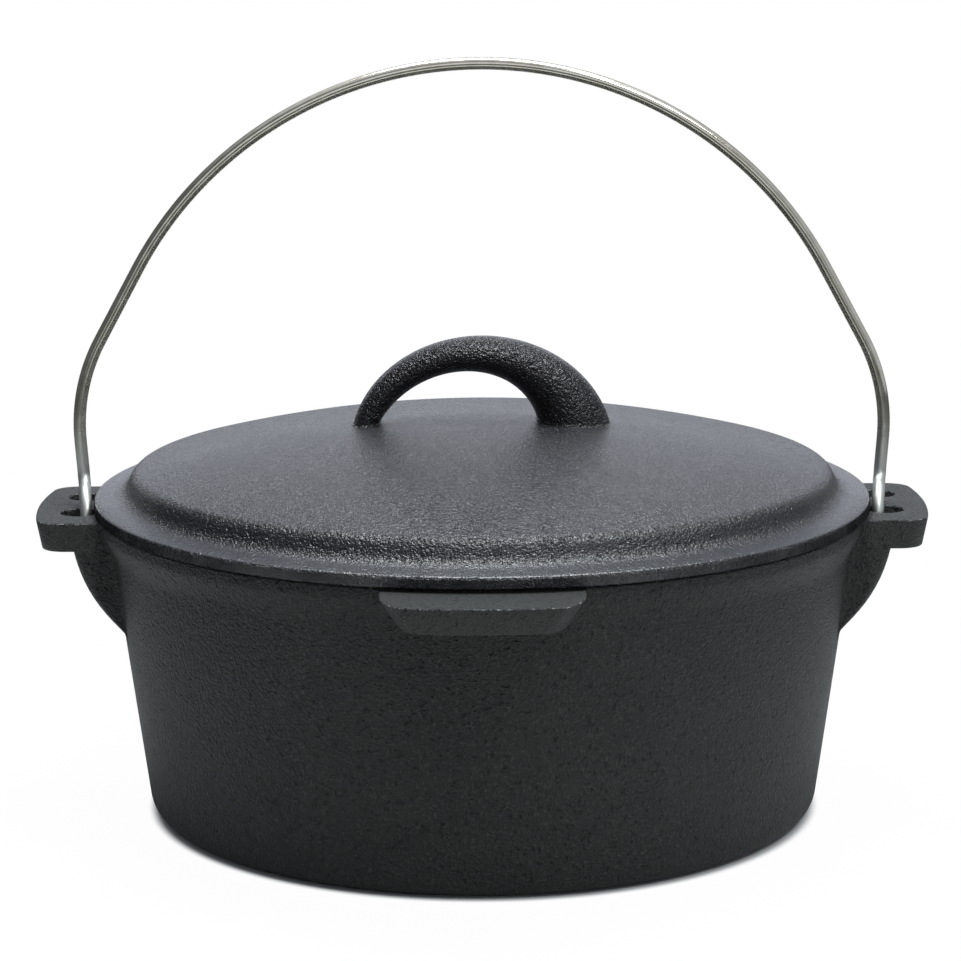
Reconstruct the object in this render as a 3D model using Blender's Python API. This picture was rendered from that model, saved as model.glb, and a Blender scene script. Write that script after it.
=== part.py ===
"""Round cast iron camp pot with a domed lid and a wire bail. Metres, +Z up.

The origin is the middle of the flat base. The two bail ears point along X, the two grip tabs along Y.
Three loose pieces make the product: the pot casting, the lid casting with its arched handle, and the
bent wire bail, whose hooked ends go round the bar between the two holes of each ear.
"""
import math

import bmesh
import bpy
from mathutils import Matrix, Vector

# Faceting
ROUND_SEGMENTS = 80
WALL_TURN = math.pi / ROUND_SEGMENTS     # sets the lugs' middles on the middle of a wall facet
HOLE_SEGMENTS = 24
ARC_STEP = math.radians(31)
SHARP_ANGLE = math.radians(35)

# Finishes: colour, roughness, metallic
POT_FINISH = ((0.030, 0.032, 0.031), 0.62, 0.3)
LID_FINISH = ((0.040, 0.042, 0.048), 0.55, 0.3)
WIRE_FINISH = ((0.56, 0.57, 0.55), 0.35, 1.0)

# Pot wall
BASE_RADIUS = 0.1079           # where the sloping wall would meet the ground
WALL_SLOPE = 0.1340            # outward run per unit of height
WALL_THICKNESS = 0.0046
FLOOR_THICKNESS = 0.0050
BASE_CORNER = 0.0070
INNER_CORNER = 0.0120
RIM_Z = 0.0990
RIM_RADIUS = 0.1234
FLARE_START_Z = 0.0875
FLARE_END_Z = 0.0950
FLARE_START_ROUND = 0.0100
FLARE_END_ROUND = 0.0040
RIM_EDGE = 0.0008

# Bail ears and grip tabs
PLATE_TOP_Z = 0.0988
PLATE_BOTTOM_Z = 0.0893
PLATE_EDGE = 0.0006
PLATE_DRAFT = 0.0016
UNDERSIDE_FALL = 0.0003        # slant of a lug's underside, down from its edge to the web or wall
EAR_REACH = 0.1432
EAR_HALF_WIDTH = 0.0295
EAR_CORNER = 0.0090
GUSSET_REACH = 0.1319
GUSSET_BOTTOM_Z = 0.0613
GUSSET_ARC_RADIUS = 0.0500
GUSSET_DRAFT = 0.0012
GUSSET_CORNER = 0.0030
GUSSET_LEVELS = 10
GUSSET_FOOT = 0.0006           # softness of the hollow where the web runs out on the wall
GUSSET_END_Z = 0.0585
GRIP_REACH = 0.1442
GRIP_TOP_Z = 0.0984
GRIP_BOTTOM_Z = 0.0903
GRIP_HALF_WIDTH = 0.0300
GRIP_BOTTOM_HALF_WIDTH = 0.0255
GRIP_CORNER = 0.0080
GRIP_FOOT = 0.0025
GRIP_FOOT_STEPS = 3
FOOT_SINK = 0.00025            # a lug's last section lies inside the wall, past the dip of its facets
ROOT_FILLET = 0.0030
ROOT_OVERLAP = 0.0004
ROOT_X = 0.1020                # lugs start inside the wall, and the cavity trims them
ROUND_SHARE = 0.35             # most of a shallow lug's depth that a fillet or corner may take
LUG_ARC_STEPS = 4
LUG_END_STEPS = 3
CUT_PAST = 0.0100              # how far a cutting shape runs past what it cuts

# Ear holes and the recess under the ear
HOLE_X = 0.1290
HOLE_Y = 0.0121
HOLE_RADIUS = 0.0060
HOLE_DRAFT = 0.0002
HOLE_PAST = 0.0020
RECESS_HALF_WIDTH = 0.0205
RECESS_CORNER = 0.0040
RECESS_DRAFT = 0.0010

# Lid
LID_RADIUS = 0.1248
BRIM_BOTTOM_Z = 0.0993
BRIM_EDGE_Z = 0.1030
BRIM_FOOT_Z = 0.1051
STEP_FOOT_RADIUS = 0.1147
SHOULDER_RADIUS = 0.1122
CROWN_Z = 0.1268
DOME_RADIUS = 0.4130
LID_THICKNESS = 0.0045
SHOULDER_ROUND = 0.0052
FOOT_ROUND = 0.0045
BRIM_ROUND = 0.0012
LIP_RADIUS = 0.1148
LIP_THICKNESS = 0.0048
LIP_BOTTOM_Z = 0.0945
LIP_DRAFT = 0.0005
LIP_INNER_ROUND = 0.0040
SHOULDER_INSET = 0.0038
DOME_STEPS = 6

# Lid handle: a cast arch between an outer ellipse and a smaller one set to one side
HANDLE_BASE_Z = 0.1168
HANDLE_ROOT_Z = 0.1232
HANDLE_OUTER = (0.0424, 0.0366)
HANDLE_INNER = (0.0271, 0.0253)
HANDLE_INNER_SHIFT = -0.0056
HANDLE_DEPTH = (0.0068, 0.0105)
HANDLE_SECTIONS = 26
HANDLE_SIDES = 16

# Bail wire
WIRE_RADIUS = 0.0020
WIRE_RESOLUTION = 3
BAIL_AXIS_Z = 0.0946
BAIL_APEX_Z = 0.2404
ARCH_RADIUS = 0.1250
ARCH_ANGLE = math.radians(61.4)
ARCH_STRAIGHT = 0.0261
SHOULDER_BEND_RADIUS = 0.0589
SHOULDER_BEND_ANGLE = math.radians(32.7)
HOOK_X = 0.1269                # inside the hole, past the hook's lean towards the pot
HOOK_RADIUS = 0.0110
HOOK_LEAD_RADIUS = 0.0050
HOOK_END_ANGLE = math.radians(275)
ARCH_SPACING = 0.0065
HOOK_SPACING = 0.0022


def metal(name, finish):
    """A Principled material for seasoned iron or plated wire."""
    colour, roughness, metallic = finish
    material = bpy.data.materials.new(name)
    material.use_nodes = True
    shader = material.node_tree.nodes["Principled BSDF"]
    shader.inputs["Base Color"].default_value = (*colour, 1.0)
    shader.inputs["Roughness"].default_value = roughness
    shader.inputs["Metallic"].default_value = metallic
    return material


def finished(name, bm, material=None):
    """Turns a bmesh into a smooth-shaded object with crisp edges kept sharp."""
    bmesh.ops.recalc_face_normals(bm, faces=bm.faces)
    mesh = bpy.data.meshes.new(name)
    bm.to_mesh(mesh)
    bm.free()
    mesh.shade_smooth()
    mesh.set_sharp_from_angle(angle=SHARP_ANGLE)
    thing = bpy.data.objects.new(name, mesh)
    bpy.context.scene.collection.objects.link(thing)
    if material:
        mesh.materials.append(material)
    return thing


def combine(target, tool, operation):
    """Adds a Boolean with a tool object, which stays as a hidden guide."""
    tool.hide_render = True
    tool.display_type = "WIRE"
    modifier = target.modifiers.new(f"{operation.lower()} {tool.name}", "BOOLEAN")
    modifier.operation = operation
    modifier.object = tool


def ease(share):
    """Smooth change from 0 to 1."""
    return share * share * (3 - 2 * share)


def arc(centre, radius, start, end, count):
    """Points along a circular arc in a plane, both ends included."""
    angles = (start + (end - start) * i / count for i in range(count + 1))
    return [Vector((centre[0] + radius * math.cos(a), centre[1] + radius * math.sin(a))) for a in angles]


def rounded(corners):
    """An open outline through (x, y, radius) corners, with each radius drawn as an arc."""
    points = [Vector(corners[0][:2])]
    for before, corner, after in zip(corners, corners[1:], corners[2:]):
        here = Vector(corner[:2])
        back = (Vector(before[:2]) - here).normalized()
        ahead = (Vector(after[:2]) - here).normalized()
        if corner[2] == 0:
            points.append(here)
            continue
        half = back.angle(ahead) / 2
        centre = here + (back + ahead).normalized() * (corner[2] / math.sin(half))
        first = here + back * (corner[2] / math.tan(half)) - centre
        last = here + ahead * (corner[2] / math.tan(half)) - centre
        start = math.atan2(first.y, first.x)
        sweep = math.atan2(first.x * last.y - first.y * last.x, first.dot(last))
        count = max(2, math.ceil(abs(sweep) / ARC_STEP))
        points += arc(centre, corner[2], start, start + sweep, count)
    points.append(Vector(corners[-1][:2]))
    return points


def turned(name, outline, material=None):
    """Spins an outline that starts and ends on the Z axis into a closed body."""
    bm = bmesh.new()
    verts = [bm.verts.new((point.x, 0, point.y)) for point in outline]
    edges = [bm.edges.new(pair) for pair in zip(verts, verts[1:])]
    bmesh.ops.spin(bm, geom=verts + edges, cent=(0, 0, 0), axis=(0, 0, 1), dvec=(0, 0, 0),
                   angle=math.tau, steps=ROUND_SEGMENTS, use_merge=True)
    bmesh.ops.remove_doubles(bm, verts=bm.verts, dist=1e-6)
    return finished(name, bm, material)


def next_ring(bm, ring, places):
    """Extrudes a ring of vertices to the places of the next section."""
    edges = [bm.edges.get(pair) for pair in zip(ring, ring[1:] + ring[:1])]
    made = bmesh.ops.extrude_edge_only(bm, edges=edges)["geom"]
    fresh = {item for item in made if isinstance(item, bmesh.types.BMVert)}
    grown = []
    for vert, place in zip(ring, places):
        twin = next(edge.other_vert(vert) for edge in vert.link_edges if edge.other_vert(vert) in fresh)
        twin.co = place
        grown.append(twin)
    return grown


def lofted(name, sections, material=None):
    """Joins closed sections of equal point count, with a flat cap at each end."""
    bm = bmesh.new()
    ring = [bm.verts.new(place) for place in sections[0]]
    bm.faces.new(ring)
    for places in sections[1:]:
        ring = next_ring(bm, ring, places)
    bm.faces.new(ring)
    return finished(name, bm, material)


def wall_radius(z):
    """Outer radius of the plain sloping wall at a height."""
    return BASE_RADIUS + WALL_SLOPE * z


def outer_radius(z):
    """Outer radius with the flare under the rim."""
    flare = (z - FLARE_START_Z) / (FLARE_END_Z - FLARE_START_Z)
    if flare <= 0:
        return wall_radius(z)
    start = wall_radius(FLARE_START_Z)
    return start + (RIM_RADIUS - start) * min(flare, 1)


def pot_outside():
    """Half section of the pot's outer form as a solid."""
    below_webs = GUSSET_END_Z - GUSSET_CORNER
    return rounded([
        (0, RIM_Z, 0),
        (RIM_RADIUS, RIM_Z, RIM_EDGE),
        (RIM_RADIUS, FLARE_END_Z, FLARE_END_ROUND),
        (wall_radius(FLARE_START_Z), FLARE_START_Z, FLARE_START_ROUND),
        (wall_radius(below_webs), below_webs, 0),
        (BASE_RADIUS, 0, BASE_CORNER),
        (0, 0, 0),
    ])


def pot_inside():
    """Half section of the hollow, carried past the rim."""
    over = RIM_Z + CUT_PAST
    tilt = math.cos(math.atan(WALL_SLOPE))
    inner = BASE_RADIUS - WALL_THICKNESS / tilt
    mouth = inner + WALL_SLOPE * (RIM_Z - RIM_EDGE)
    return rounded([
        (0, over, 0),
        (mouth + RIM_EDGE + CUT_PAST, over, 0),
        (mouth, RIM_Z - RIM_EDGE, 0),
        (inner + WALL_SLOPE * FLOOR_THICKNESS, FLOOR_THICKNESS, INNER_CORNER),
        (0, FLOOR_THICKNESS, 0),
    ])


def lug_section(z, reach, half_width, corner):
    """Plan of a lug at a height: fillets to the wall, straight sides, and an end round the pot's axis."""
    wall = outer_radius(z) - ROOT_OVERLAP
    most = ROUND_SHARE * (reach - wall)
    fillet = min(ROOT_FILLET, most)
    corner = min(corner, most)
    root = Vector((math.sqrt((wall + fillet) ** 2 - (half_width + fillet) ** 2), half_width + fillet))
    bend = Vector((math.sqrt((reach - corner) ** 2 - (half_width - corner) ** 2), half_width - corner))
    root_angle = math.atan2(root.y, root.x)
    bend_angle = math.atan2(bend.y, bend.x)
    half = [Vector((ROOT_X, root.y - fillet * math.sin(root_angle)))]
    half += arc(root, fillet, root_angle + math.pi, 1.5 * math.pi, LUG_ARC_STEPS)
    half += arc(bend, corner, math.pi / 2, bend_angle, LUG_ARC_STEPS)
    half += arc((0, 0), reach, bend_angle, 0, LUG_END_STEPS)[1:]
    mirrored = [Vector((point.x, -point.y)) for point in reversed(half[:-1])]
    return [Vector((point.x, point.y, z)) for point in half + mirrored]


def gusset_reach(z):
    """Radius of the web under an ear: a convex arc from the plate, then a small hollow out on the wall."""
    top = Vector((GUSSET_REACH, PLATE_BOTTOM_Z))
    bottom = Vector((wall_radius(GUSSET_BOTTOM_Z), GUSSET_BOTTOM_Z))
    chord = top - bottom
    inward = Vector((-chord.y, chord.x)).normalized()
    sagitta = math.sqrt(GUSSET_ARC_RADIUS ** 2 - (chord.length / 2) ** 2)
    centre = (top + bottom) / 2 + inward * sagitta
    proud = centre.x + math.sqrt(GUSSET_ARC_RADIUS ** 2 - (z - centre.y) ** 2) - wall_radius(z)
    return wall_radius(z) + (proud + math.hypot(proud, GUSSET_FOOT)) / 2 - FOOT_SINK


def ear_sections():
    """Plate with a soft top edge and a nearly flat underside, then the web that curves down into the wall."""
    sections = [
        lug_section(PLATE_TOP_Z, EAR_REACH - PLATE_EDGE, EAR_HALF_WIDTH - PLATE_EDGE, EAR_CORNER),
        lug_section(PLATE_TOP_Z - PLATE_EDGE, EAR_REACH, EAR_HALF_WIDTH, EAR_CORNER),
        lug_section(PLATE_BOTTOM_Z + PLATE_EDGE, EAR_REACH - PLATE_DRAFT,
                    EAR_HALF_WIDTH - GUSSET_DRAFT, EAR_CORNER),
        lug_section(PLATE_BOTTOM_Z, EAR_REACH - PLATE_DRAFT - PLATE_EDGE,
                    EAR_HALF_WIDTH - GUSSET_DRAFT - PLATE_EDGE / 2, EAR_CORNER),
    ]
    for i in range(GUSSET_LEVELS + 1):
        drop = math.sin(math.pi / 2 * i / GUSSET_LEVELS)
        z = PLATE_BOTTOM_Z - UNDERSIDE_FALL + (GUSSET_END_Z - PLATE_BOTTOM_Z) * drop
        width = EAR_HALF_WIDTH - PLATE_EDGE - GUSSET_DRAFT * (1 + drop)
        sections.append(lug_section(z, gusset_reach(z), width, GUSSET_CORNER))
    return sections


def grip_sections():
    """Plain ledge with drafted sides and softened edges, its underside filleted into the wall."""
    sections = [
        lug_section(GRIP_TOP_Z, GRIP_REACH - PLATE_EDGE, GRIP_HALF_WIDTH - PLATE_EDGE, GRIP_CORNER),
        lug_section(GRIP_TOP_Z - PLATE_EDGE, GRIP_REACH, GRIP_HALF_WIDTH, GRIP_CORNER),
        lug_section(GRIP_BOTTOM_Z + PLATE_EDGE, GRIP_REACH - PLATE_DRAFT,
                    GRIP_BOTTOM_HALF_WIDTH, GRIP_CORNER),
        lug_section(GRIP_BOTTOM_Z, GRIP_REACH - PLATE_DRAFT - PLATE_EDGE,
                    GRIP_BOTTOM_HALF_WIDTH - PLATE_EDGE, GRIP_CORNER),
    ]
    for i in range(GRIP_FOOT_STEPS + 1):
        angle = math.pi / 2 * (1 - i / GRIP_FOOT_STEPS)
        z = GRIP_BOTTOM_Z - UNDERSIDE_FALL - GRIP_FOOT * (1 - math.sin(angle))
        reach = outer_radius(z) + GRIP_FOOT * (1 - math.cos(angle)) - FOOT_SINK
        sections.append(lug_section(z, reach, GRIP_BOTTOM_HALF_WIDTH - 2 * PLATE_EDGE, GRIP_CORNER))
    return sections


def recess_tool(name):
    """The hollow between the two cheeks under an ear, wider towards its open bottom."""
    mouth = RECESS_HALF_WIDTH + RECESS_DRAFT
    low = GUSSET_END_Z - CUT_PAST
    outline = rounded([
        (-mouth, low, 0),
        (-RECESS_HALF_WIDTH, PLATE_BOTTOM_Z, RECESS_CORNER),
        (RECESS_HALF_WIDTH, PLATE_BOTTOM_Z, RECESS_CORNER),
        (mouth, low, 0),
    ])
    ends = (ROOT_X - CUT_PAST, EAR_REACH + CUT_PAST)
    return lofted(name, [[(x, point.x, point.y) for point in outline] for x in ends])


def hole_tool(name):
    """The two vertical holes of an ear, a little wider at the top."""
    bm = bmesh.new()
    depth = PLATE_TOP_Z - PLATE_BOTTOM_Z + 2 * HOLE_PAST
    middle = (PLATE_TOP_Z + PLATE_BOTTOM_Z) / 2
    for side in (-1, 1):
        bmesh.ops.create_cone(bm, cap_ends=True, segments=HOLE_SEGMENTS, radius1=HOLE_RADIUS - HOLE_DRAFT,
                              radius2=HOLE_RADIUS, depth=depth,
                              matrix=Matrix.Translation((HOLE_X, side * HOLE_Y, middle)))
    return finished(name, bm)


def turn_about_axis(thing, angle):
    """Turns a mesh about the pot's axis, keeping the object itself unturned."""
    thing.data.transform(Matrix.Rotation(angle, 4, "Z"))
    return thing


def ear(name, angle):
    """One bail ear with its holes and recess, ready to join the wall."""
    blank = turn_about_axis(lofted(name, ear_sections()), angle)
    combine(blank, turn_about_axis(recess_tool(f"{name}_recess"), angle), "DIFFERENCE")
    combine(blank, turn_about_axis(hole_tool(f"{name}_holes"), angle), "DIFFERENCE")
    return blank


def make_pot():
    """The pot casting: turned wall, two ears, two grip tabs, hollowed last."""
    pot = turn_about_axis(turned("pot", pot_outside(), metal("pot_iron", POT_FINISH)), WALL_TURN)
    combine(pot, ear("ear_right", 0), "UNION")
    combine(pot, ear("ear_left", math.pi), "UNION")
    combine(pot, turn_about_axis(lofted("grip_back", grip_sections()), math.pi / 2), "UNION")
    combine(pot, turn_about_axis(lofted("grip_front", grip_sections()), -math.pi / 2), "UNION")
    combine(pot, turn_about_axis(turned("cavity", pot_inside()), WALL_TURN), "DIFFERENCE")
    return pot


def dome(radius, crown, reach, steps):
    """Points along a shallow dome from the axis to a radius."""
    return [Vector((r, crown - radius + math.sqrt(radius ** 2 - r ** 2)))
            for r in (reach * i / steps for i in range(steps + 1))]


def lid_outline():
    """Half section of the lid's shell, over the top and back along the underside."""
    top = dome(DOME_RADIUS, CROWN_Z, SHOULDER_RADIUS, DOME_STEPS)
    shoulder = top.pop()
    inner_radius = SHOULDER_RADIUS - SHOULDER_INSET
    under = dome(DOME_RADIUS - LID_THICKNESS, CROWN_Z - LID_THICKNESS, inner_radius, DOME_STEPS - 1)
    under_shoulder = under.pop()
    lip_inner = LIP_RADIUS - LIP_THICKNESS
    rim = rounded([
        (*top[-1], 0),
        (*shoulder, SHOULDER_ROUND),
        (STEP_FOOT_RADIUS, BRIM_FOOT_Z, FOOT_ROUND),
        (LID_RADIUS, BRIM_EDGE_Z, BRIM_ROUND),
        (LID_RADIUS, BRIM_BOTTOM_Z, BRIM_ROUND / 2),
        (LIP_RADIUS, BRIM_BOTTOM_Z, 0),
        (LIP_RADIUS - LIP_DRAFT, LIP_BOTTOM_Z, 0),
        (lip_inner, LIP_BOTTOM_Z, 0),
        (lip_inner - LIP_DRAFT, BRIM_FOOT_Z - LIP_THICKNESS / 2, LIP_INNER_ROUND),
        (*under_shoulder, SHOULDER_ROUND),
        (*under[-1], 0),
    ])
    return top[:-1] + rim + under[-2::-1]


def handle_sections():
    """Sections of the arch, thin at its left foot and swelling to a stout right foot."""
    def start_angle(ellipse):
        return math.asin((HANDLE_ROOT_Z - HANDLE_BASE_Z) / ellipse[1])

    def on_ellipse(ellipse, shift, along):
        lead = start_angle(ellipse)
        angle = math.pi - lead - (math.pi - 2 * lead) * along
        return Vector((shift + ellipse[0] * math.cos(angle), 0, HANDLE_BASE_Z + ellipse[1] * math.sin(angle)))

    sections = []
    for i in range(HANDLE_SECTIONS + 1):
        along = i / HANDLE_SECTIONS
        outer = on_ellipse(HANDLE_OUTER, 0, along)
        inner = on_ellipse(HANDLE_INNER, HANDLE_INNER_SHIFT, along)
        depth = HANDLE_DEPTH[0] + (HANDLE_DEPTH[1] - HANDLE_DEPTH[0]) * ease(along)
        centre = (outer + inner) / 2
        across = (outer - inner) / 2
        turns = (math.tau * k / HANDLE_SIDES for k in range(HANDLE_SIDES))
        sections.append([centre + across * math.cos(t) + Vector((0, depth * math.sin(t), 0)) for t in turns])
    return sections


def make_lid():
    """The lid casting: turned shell with its arched handle."""
    lid = turned("lid", lid_outline(), metal("lid_iron", LID_FINISH))
    combine(lid, lofted("lid_handle_arch", handle_sections()), "UNION")
    return lid


def spaced(length, spacing):
    """Fractions from 0 to 1 along a stretch, at about the given spacing."""
    count = max(2, math.ceil(length / spacing))
    return [i / count for i in range(1, count + 1)]


def half_bail():
    """Centre line of the right half of the wire, from the apex to the end inside the back hole."""
    points = [Vector((0, 0, BAIL_APEX_Z))]
    for u in spaced(ARCH_RADIUS * ARCH_ANGLE, ARCH_SPACING):
        angle = ARCH_ANGLE * u
        drop = ARCH_RADIUS * (1 - math.cos(angle))
        points.append(Vector((ARCH_RADIUS * math.sin(angle), 0, BAIL_APEX_Z - drop)))
    heading = Vector((math.cos(ARCH_ANGLE), 0, -math.sin(ARCH_ANGLE)))
    corner = points[-1] + heading * ARCH_STRAIGHT
    points += [points[-1].lerp(corner, u) for u in spaced(ARCH_STRAIGHT, ARCH_SPACING)]
    bend = corner - SHOULDER_BEND_RADIUS * Vector((math.sin(ARCH_ANGLE), 0, math.cos(ARCH_ANGLE)))
    for u in spaced(SHOULDER_BEND_RADIUS * SHOULDER_BEND_ANGLE, ARCH_SPACING):
        angle = ARCH_ANGLE + SHOULDER_BEND_ANGLE * u
        points.append(bend + SHOULDER_BEND_RADIUS * Vector((math.sin(angle), 0, math.cos(angle))))

    lead_z = BAIL_AXIS_Z + math.sqrt((HOOK_RADIUS + HOOK_LEAD_RADIUS) ** 2 - HOOK_LEAD_RADIUS ** 2)
    leg_angle = ARCH_ANGLE + SHOULDER_BEND_ANGLE
    heading = Vector((math.cos(leg_angle), 0, -math.sin(leg_angle)))
    foot = points[-1] + heading * ((points[-1].z - lead_z) / math.sin(leg_angle))
    points += [points[-1].lerp(foot, u) for u in spaced((foot - points[-1]).length, ARCH_SPACING)]
    return points + hook(foot)


def hook(foot):
    """The bent end: forward and inward off the leg, down, under the ear's bar and up the back hole."""
    tilt = math.atan2(HOOK_LEAD_RADIUS, foot.z - BAIL_AXIS_Z)
    lead_sweep = math.pi / 2 - tilt
    points = []
    for u in spaced(HOOK_LEAD_RADIUS * lead_sweep, HOOK_SPACING):
        angle = lead_sweep * u
        points.append(Vector((0, HOOK_LEAD_RADIUS * (math.cos(angle) - 1),
                              foot.z - HOOK_LEAD_RADIUS * math.sin(angle))))
    for u in spaced(HOOK_RADIUS * (HOOK_END_ANGLE - tilt), HOOK_SPACING):
        angle = tilt + (HOOK_END_ANGLE - tilt) * u
        points.append(Vector((0, -HOOK_RADIUS * math.sin(angle),
                              BAIL_AXIS_Z + HOOK_RADIUS * math.cos(angle))))
    for point in points:
        lean = min(1, (foot.z - point.z) / (foot.z - PLATE_TOP_Z))
        point.x = foot.x + (HOOK_X - foot.x) * ease(lean)
    return points


def make_bail():
    """The wire bail as a round tube with closed ends, its origin on the line through both ear bars."""
    right = half_bail()
    left = [Vector((-point.x, point.y, point.z)) for point in reversed(right[1:])]
    curve = bpy.data.curves.new("bail", "CURVE")
    curve.dimensions = "3D"
    curve.bevel_depth = WIRE_RADIUS
    curve.bevel_resolution = WIRE_RESOLUTION
    curve.use_fill_caps = True
    route = left + right
    spline = curve.splines.new("POLY")
    spline.points.add(len(route) - 1)
    for point, place in zip(spline.points, route):
        point.co = (place.x, place.y, place.z - BAIL_AXIS_Z, 1)
    spline.use_smooth = True
    curve.materials.append(metal("bail_wire", WIRE_FINISH))
    bail = bpy.data.objects.new("bail", curve)
    bail.location = (0, 0, BAIL_AXIS_Z)
    bpy.context.scene.collection.objects.link(bail)
    return bail


def main():
    for thing in list(bpy.data.objects):
        bpy.data.objects.remove(thing)
    make_pot()
    make_lid()
    make_bail()


main()
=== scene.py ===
"""Looks of the cast iron camp pot: fine meshes for its castings and wire, their finishes, and the studio.

Metres, +Z up. The origin is the middle of the flat base, the ears lie along X and the grip tabs along Y.
"""
import math

import bmesh
import bpy
from mathutils import Matrix, Vector


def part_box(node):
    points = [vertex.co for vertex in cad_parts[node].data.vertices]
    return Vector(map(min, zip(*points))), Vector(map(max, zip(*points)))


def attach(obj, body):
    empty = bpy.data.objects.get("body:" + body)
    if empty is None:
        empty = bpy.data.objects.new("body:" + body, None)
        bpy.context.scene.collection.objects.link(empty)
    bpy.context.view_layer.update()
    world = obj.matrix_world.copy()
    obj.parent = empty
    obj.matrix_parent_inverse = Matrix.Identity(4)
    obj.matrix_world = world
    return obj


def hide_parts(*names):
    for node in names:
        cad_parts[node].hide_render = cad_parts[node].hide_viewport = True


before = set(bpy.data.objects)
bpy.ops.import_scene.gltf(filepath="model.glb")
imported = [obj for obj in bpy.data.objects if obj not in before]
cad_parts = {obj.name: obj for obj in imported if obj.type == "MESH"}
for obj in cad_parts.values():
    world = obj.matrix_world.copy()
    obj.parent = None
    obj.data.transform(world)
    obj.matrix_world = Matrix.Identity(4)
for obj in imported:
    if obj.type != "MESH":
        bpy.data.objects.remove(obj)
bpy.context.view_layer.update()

# Fineness of the meshes
ROUND_SEGMENTS = 288
HOLE_SEGMENTS = 48
ARC_STEP = math.radians(12)
WALL_SPACING = 0.0030
SHARP_ANGLE = math.radians(40)
MERGE_DISTANCE = 1e-6

# Pot wall
BASE_RADIUS = 0.1079
WALL_SLOPE = 0.1340
WALL_THICKNESS = 0.0046
FLOOR_THICKNESS = 0.0050
BASE_CORNER = 0.0070
INNER_CORNER = 0.0120
RIM_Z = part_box("pot")[1].z
RIM_RADIUS = 0.1234
RIM_EDGE = 0.0008
FLARE_START_Z = 0.0875
FLARE_END_Z = 0.0950
FLARE_START_ROUND = 0.0100
FLARE_END_ROUND = 0.0040

# Bail ears and grip tabs
PLATE_TOP_Z = 0.0988
PLATE_BOTTOM_Z = 0.0893
PLATE_EDGE = 0.0006
PLATE_DRAFT = 0.0016
FLAT_BORDER = 0.0004
EAR_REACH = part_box("pot")[1].x
EAR_HALF_WIDTH = 0.0295
EAR_CORNER = 0.0072
GRIP_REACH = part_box("pot")[1].y
GRIP_TOP_Z = 0.0984
GRIP_BOTTOM_Z = 0.0903
GRIP_HALF_WIDTH = 0.0300
GRIP_BOTTOM_HALF_WIDTH = 0.0255
GRIP_CORNER = 0.0090
GRIP_STRETCH = 2.3             # how much longer than wide its corners are in plan
GRIP_FILLET = 0.0010
GRIP_FOOT = 0.0025
ROOT_FILLET = 0.0030
ROOT_OVERLAP = 0.00004         # how deep a root fillet's edge lies in the wall
ROOT_DEPTH = 0.0022            # how deep a lug's hidden end lies in the wall
ROOT_NARROWING = 0.0015        # how much narrower it is there, on each side
FILLET_SHARE = 0.35             # most that a root fillet takes of how far a lug stands out
CORNER_SHARE = 0.92             # most that a corner takes of what the fillet leaves
EDGE_STEPS = 3
FILLET_STEPS = 7
CORNER_STEPS = 8
END_STEPS = 12

# Webs under the ears, and the holes
WEB_REACH = 0.1319
WEB_BOTTOM_Z = 0.0623
WEB_END_Z = 0.0585
WEB_ARC_RADIUS = 0.0460
WEB_DRAFT = 0.0012
WEB_CORNER = 0.0026
WEB_FOOT = 0.0012
WEB_LEVELS = 14
FOOT_SINK = 0.00002
WEB_ROOT_DEPTH = 0.0015
WEB_INTO_PLATE = 0.0020
RECESS_HALF_WIDTH = 0.0205
RECESS_CORNER = 0.0040
RECESS_DRAFT = 0.0010
HOLE_X = 0.1290
HOLE_Y = 0.0121
HOLE_RADIUS = 0.00595
HOLE_EDGE = 0.0005
HOLE_PAST = 0.0020

# Lid
LID_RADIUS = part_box("lid")[1].x
BRIM_BOTTOM_Z = 0.0993
BRIM_EDGE_Z = 0.1030
BRIM_FOOT_Z = 0.1051
STEP_FOOT_RADIUS = 0.1147
SHOULDER_RADIUS = 0.1122
SHOULDER_INSET = 0.0038
CROWN_Z = 0.1268
DOME_RADIUS = 0.4130
DOME_STEPS = 36
LID_THICKNESS = 0.0045
SHOULDER_ROUND = 0.0052
FOOT_ROUND = 0.0045
BRIM_ROUND = 0.0012
LIP_RADIUS = 0.1148
LIP_THICKNESS = 0.0048
LIP_BOTTOM_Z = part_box("lid")[0].z
LIP_DRAFT = 0.0005
LIP_EDGE = 0.0006
LIP_INNER_ROUND = 0.0040
BRIM_SIDE_RISE = math.cos(math.radians(46))   # faces of the brim's side point less upwards than this

# Lid handle
HANDLE_BASE_Z = 0.1168
HANDLE_ROOT_Z = 0.1232
HANDLE_OUTER = (0.0424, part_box("lid")[1].z - HANDLE_BASE_Z)
HANDLE_INNER = (0.0271, 0.0253)
HANDLE_INNER_SHIFT = (-0.0088, -0.0045)   # of the inner ellipse, at its base and at its top
HANDLE_DEPTH = (0.0068, 0.0105)
HANDLE_SECTIONS = 90
HANDLE_SIDES = 48
HANDLE_FOOT = 0.0008
FOOT_SHARE = 0.05              # share of the arch at each end that is drawn more finely
FOOT_SECTIONS = 22

# Bail wire
WIRE_RADIUS = 0.0020
WIRE_SIDES = 24
WIRE_END_ROUND = 0.0005
BAIL_AXIS_Z = 0.0946
BAIL_APEX_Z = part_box("bail")[1].z - WIRE_RADIUS
ARCH_RADIUS = 0.1250
ARCH_ANGLE = math.radians(61.4)
ARCH_STRAIGHT = 0.0261
SHOULDER_BEND_RADIUS = 0.0589
SHOULDER_BEND_ANGLE = math.radians(32.7)
HOOK_X = 0.1269
HOOK_RADIUS = 0.0110
HOOK_LEAD_RADIUS = 0.0050
HOOK_END_ANGLE = math.radians(275)
ARCH_SPACING = 0.0022
HOOK_SPACING = 0.0009

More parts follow.
